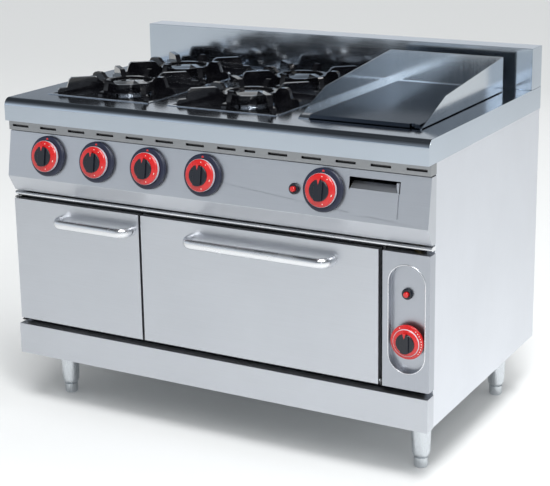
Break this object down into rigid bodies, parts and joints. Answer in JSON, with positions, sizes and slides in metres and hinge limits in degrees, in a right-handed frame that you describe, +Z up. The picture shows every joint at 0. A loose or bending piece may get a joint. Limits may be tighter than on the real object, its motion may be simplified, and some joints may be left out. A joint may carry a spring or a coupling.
{
  "type": "commercial gas range",
  "caption": "Freestanding stainless steel catering cooker with open gas burners and a griddle on top, an oven with a drop-down door and a side cabinet below, on adjustable feet.",
  "frame": {"origin": "on the floor, under the middle of the overall width and depth", "axes": "+X to the right seen from the front, +Y from the front to the wall behind, +Z up"},
  "size_m": [1.2, 0.811, 0.96],
  "materials": {
    "body_steel": "brushed stainless steel sheet",
    "side_steel": "satin stainless steel sheet",
    "top_steel": "brushed stainless steel, lightly reflective",
    "bright_trim": "polished bar and tube",
    "galvanised": "dull zinc-coated sheet",
    "enamel": "black vitreous enamel",
    "cast_iron": "glossy black enamelled cast iron",
    "burner_iron": "plain grey cast iron",
    "griddle_steel": "ground and polished plate",
    "knob_plastic": "red skirt with a black grip",
    "button_plastic": "glossy red",
    "seal": "matt woven seal",
    "brass": "brass and plated steel pipe"
  },
  "bodies": {
    "range_body": {"base_frame": "galvanised", "left_side_panel": "side_steel", "right_side_panel": "side_steel", "back_panel": "galvanised", "plinth_panel": "body_steel", "front_frame": "enamel", "worktop": "top_steel", "backguard": "side_steel", "vent_strip": "body_steel", "control_panel": "body_steel", "trim_rail": "bright_trim", "oven_column_panel": "body_steel", "centre_divider": "galvanised", "cabinet_floor": "galvanised", "oven_liner": "enamel", "oven_burner": "burner_iron", "griddle_plate": "griddle_steel", "griddle_splash_guard": "top_steel", "griddle_burner": "burner_iron", "gas_manifold": "brass", "left_front_burner": "burner_iron", "left_rear_burner": "burner_iron", "right_front_burner": "burner_iron", "right_rear_burner": "burner_iron", "front_left_foot_cup": "body_steel", "front_right_foot_cup": "body_steel", "rear_left_foot_cup": "body_steel", "rear_right_foot_cup": "body_steel"},
    "oven_door": {"oven_door_skin": "body_steel", "oven_door_liner": "enamel", "oven_door_gasket": "seal", "oven_door_handle": "bright_trim"},
    "cabinet_door": {"cabinet_door_skin": "body_steel", "cabinet_door_liner": "body_steel", "cabinet_door_handle": "bright_trim"},
    "grease_drawer": {"grease_drawer": "body_steel"},
    "oven_rack": {"oven_rack": "bright_trim"},
    "oven_floor_plate": {"oven_floor_plate": "burner_iron"},
    "left_front_knob": {"left_front_knob": "knob_plastic"},
    "left_rear_knob": {"left_rear_knob": "knob_plastic"},
    "right_front_knob": {"right_front_knob": "knob_plastic"},
    "right_rear_knob": {"right_rear_knob": "knob_plastic"},
    "griddle_knob": {"griddle_knob": "knob_plastic"},
    "oven_knob": {"oven_knob": "knob_plastic"},
    "griddle_igniter_button": {"griddle_igniter_button": "button_plastic"},
    "oven_igniter_button": {"oven_igniter_button": "button_plastic"},
    "left_drip_pan": {"left_drip_pan": "top_steel"},
    "right_drip_pan": {"right_drip_pan": "top_steel"},
    "left_front_trivet": {"left_front_trivet": "cast_iron"},
    "left_front_burner_cap": {"left_front_burner_cap": "enamel"},
    "left_rear_trivet": {"left_rear_trivet": "cast_iron"},
    "left_rear_burner_cap": {"left_rear_burner_cap": "enamel"},
    "right_front_trivet": {"right_front_trivet": "cast_iron"},
    "right_front_burner_cap": {"right_front_burner_cap": "enamel"},
    "right_rear_trivet": {"right_rear_trivet": "cast_iron"},
    "right_rear_burner_cap": {"right_rear_burner_cap": "enamel"},
    "front_left_foot": {"front_left_foot": "bright_trim"},
    "front_right_foot": {"front_right_foot": "bright_trim"},
    "rear_left_foot": {"rear_left_foot": "bright_trim"},
    "rear_right_foot": {"rear_right_foot": "bright_trim"}
  },
  "joints": [
    {"name": "oven_door_hinge", "type": "hinge", "parent": "range_body", "child": "oven_door", "pos_m": [0.136, -0.3505, 0.252], "axis": [1, 0, 0], "range_deg": [0, 90]},
    {"name": "cabinet_door_hinge", "type": "hinge", "parent": "range_body", "child": "cabinet_door", "pos_m": [-0.592, -0.3505, 0.411], "axis": [0, 0, -1], "range_deg": [0, 110]},
    {"name": "grease_drawer_slide", "type": "slide", "parent": "range_body", "child": "grease_drawer", "axis": [0, -1, 0], "range_m": [0, 0.26]},
    {"name": "oven_rack_slide", "type": "slide", "parent": "range_body", "child": "oven_rack", "axis": [0, -1, 0], "range_m": [0, 0.06]},
    {"name": "oven_floor_plate_lift", "type": "slide", "parent": "range_body", "child": "oven_floor_plate", "axis": [0, 0, 1], "range_m": [0, 0.04]},
    {"name": "left_front_knob_turn", "type": "hinge", "parent": "range_body", "child": "left_front_knob", "pos_m": [-0.47, -0.36491, 0.706], "axis": [0, -0.9862, 0.1657], "range_deg": [0, 190]},
    {"name": "left_rear_knob_turn", "type": "hinge", "parent": "range_body", "child": "left_rear_knob", "pos_m": [-0.315, -0.36491, 0.706], "axis": [0, -0.9862, 0.1657], "range_deg": [0, 190]},
    {"name": "right_front_knob_turn", "type": "hinge", "parent": "range_body", "child": "right_front_knob", "pos_m": [-0.159, -0.36491, 0.706], "axis": [0, -0.9862, 0.1657], "range_deg": [0, 190]},
    {"name": "right_rear_knob_turn", "type": "hinge", "parent": "range_body", "child": "right_rear_knob", "pos_m": [0.002, -0.36491, 0.706], "axis": [0, -0.9862, 0.1657], "range_deg": [0, 190]},
    {"name": "griddle_knob_turn", "type": "hinge", "parent": "range_body", "child": "griddle_knob", "pos_m": [0.332, -0.36491, 0.706], "axis": [0, -0.9862, 0.1657], "range_deg": [0, 190]},
    {"name": "oven_knob_turn", "type": "hinge", "parent": "range_body", "child": "oven_knob", "pos_m": [0.544, -0.3445, 0.363], "axis": [0, -1, 0], "range_deg": [0, 270]},
    {"name": "griddle_igniter_button_press", "type": "slide", "parent": "range_body", "child": "griddle_igniter_button", "axis": [0, 0.9862, -0.1657], "range_m": [0, 0.005], "stiffness_N_per_m": 1500, "springref_m": -0.002},
    {"name": "oven_igniter_button_press", "type": "slide", "parent": "range_body", "child": "oven_igniter_button", "axis": [0, 1, 0], "range_m": [0, 0.005], "stiffness_N_per_m": 1500, "springref_m": -0.002},
    {"name": "left_drip_pan_lift", "type": "slide", "parent": "range_body", "child": "left_drip_pan", "axis": [0, 0, 1], "range_m": [0, 0.06]},
    {"name": "right_drip_pan_lift", "type": "slide", "parent": "range_body", "child": "right_drip_pan", "axis": [0, 0, 1], "range_m": [0, 0.06]},
    {"name": "left_front_trivet_lift", "type": "slide", "parent": "left_drip_pan", "child": "left_front_trivet", "axis": [0, 0, 1], "range_m": [0, 0.08]},
    {"name": "left_front_burner_cap_lift", "type": "slide", "parent": "range_body", "child": "left_front_burner_cap", "axis": [0, 0, 1], "range_m": [0, 0.04]},
    {"name": "left_rear_trivet_lift", "type": "slide", "parent": "left_drip_pan", "child": "left_rear_trivet", "axis": [0, 0, 1], "range_m": [0, 0.08]},
    {"name": "left_rear_burner_cap_lift", "type": "slide", "parent": "range_body", "child": "left_rear_burner_cap", "axis": [0, 0, 1], "range_m": [0, 0.04]},
    {"name": "right_front_trivet_lift", "type": "slide", "parent": "right_drip_pan", "child": "right_front_trivet", "axis": [0, 0, 1], "range_m": [0, 0.08]},
    {"name": "right_front_burner_cap_lift", "type": "slide", "parent": "range_body", "child": "right_front_burner_cap", "axis": [0, 0, 1], "range_m": [0, 0.04]},
    {"name": "right_rear_trivet_lift", "type": "slide", "parent": "right_drip_pan", "child": "right_rear_trivet", "axis": [0, 0, 1], "range_m": [0, 0.08]},
    {"name": "right_rear_burner_cap_lift", "type": "slide", "parent": "range_body", "child": "right_rear_burner_cap", "axis": [0, 0, 1], "range_m": [0, 0.04]},
    {"name": "front_left_foot_screw", "type": "slide", "parent": "range_body", "child": "front_left_foot", "axis": [0, 0, -1], "range_m": [0, 0.03]},
    {"name": "front_right_foot_screw", "type": "slide", "parent": "range_body", "child": "front_right_foot", "axis": [0, 0, -1], "range_m": [0, 0.03]},
    {"name": "rear_left_foot_screw", "type": "slide", "parent": "range_body", "child": "rear_left_foot", "axis": [0, 0, -1], "range_m": [0, 0.03]},
    {"name": "rear_right_foot_screw", "type": "slide", "parent": "range_body", "child": "rear_right_foot", "axis": [0, 0, -1], "range_m": [0, 0.03]}
  ]
}
